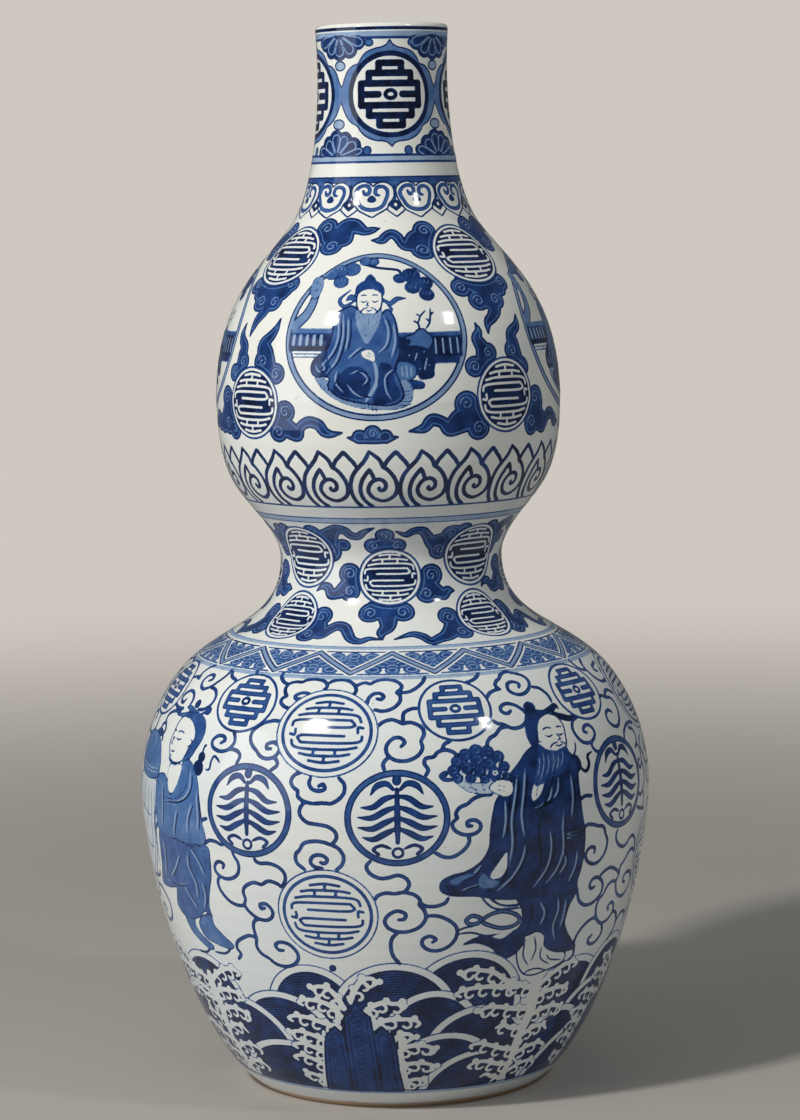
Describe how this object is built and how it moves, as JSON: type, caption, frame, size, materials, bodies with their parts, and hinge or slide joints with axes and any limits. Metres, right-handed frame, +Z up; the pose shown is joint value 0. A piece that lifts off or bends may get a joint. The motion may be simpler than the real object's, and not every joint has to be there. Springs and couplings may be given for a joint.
{
  "type": "double gourd vase",
  "caption": "Tall porcelain vase of double gourd form, painted in underglaze cobalt blue; stands on a foot ring and holds water or stems through its narrow neck.",
  "frame": {"origin": "on the axis, in the plane the foot ring stands on", "axes": "+Z up along the vase's axis; -Y is the side that faces the camera"},
  "size_m": [0.316, 0.316, 0.65],
  "materials": {
    "glazed_porcelain": "clear glossy glaze, faintly blue green, over white porcelain painted in cobalt",
    "luting_slip": "fired porcelain slip, matt where it shows inside"
  },
  "bodies": {
    "root": {"lower_belly": "glazed_porcelain", "upper_belly": "glazed_porcelain", "waist": "glazed_porcelain", "lower_bulb": "glazed_porcelain", "upper_bulb": "glazed_porcelain", "neck": "glazed_porcelain", "belly_slip_ring": "luting_slip", "shoulder_slip_ring": "luting_slip", "waist_slip_ring": "luting_slip", "bulb_slip_ring": "luting_slip", "neck_slip_ring": "luting_slip"}
  },
  "joints": []
}
